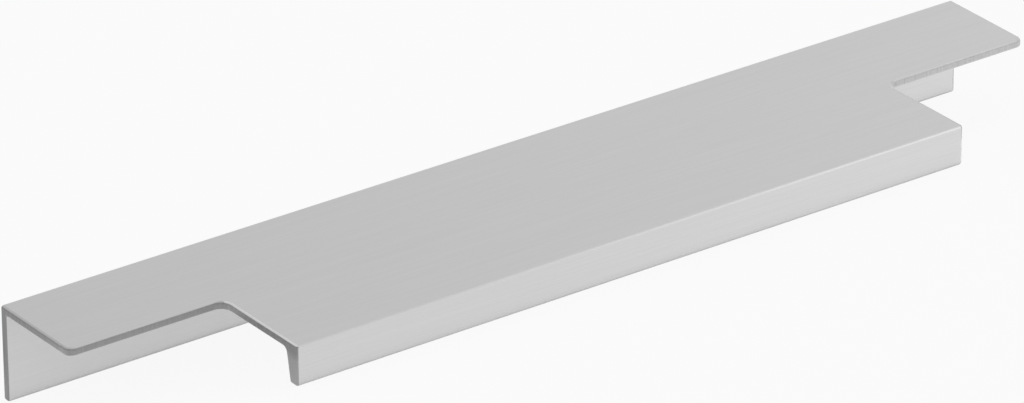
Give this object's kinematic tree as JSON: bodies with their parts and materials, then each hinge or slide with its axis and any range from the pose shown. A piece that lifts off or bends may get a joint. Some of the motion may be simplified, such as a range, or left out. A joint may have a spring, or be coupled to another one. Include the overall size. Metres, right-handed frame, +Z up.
{
  "type": "profile handle",
  "caption": "Extruded aluminium edge-pull handle: flat top plate, rear screw flange and tapered front lip, with both front corners milled back to end tabs.",
  "frame": {"origin": "under the middle of the handle, on the table it lies on", "axes": "+X along the handle, +Y to the flange's side (the back when mounted), +Z up; as it lies, the plate leans forward 14.0 degrees"},
  "size_m": [0.2, 0.0442, 0.0171],
  "materials": {
    "aluminium": "satin, finely brushed along the length, clear anodised"
  },
  "bodies": {
    "root": {"profile_handle": "aluminium"}
  },
  "joints": []
}
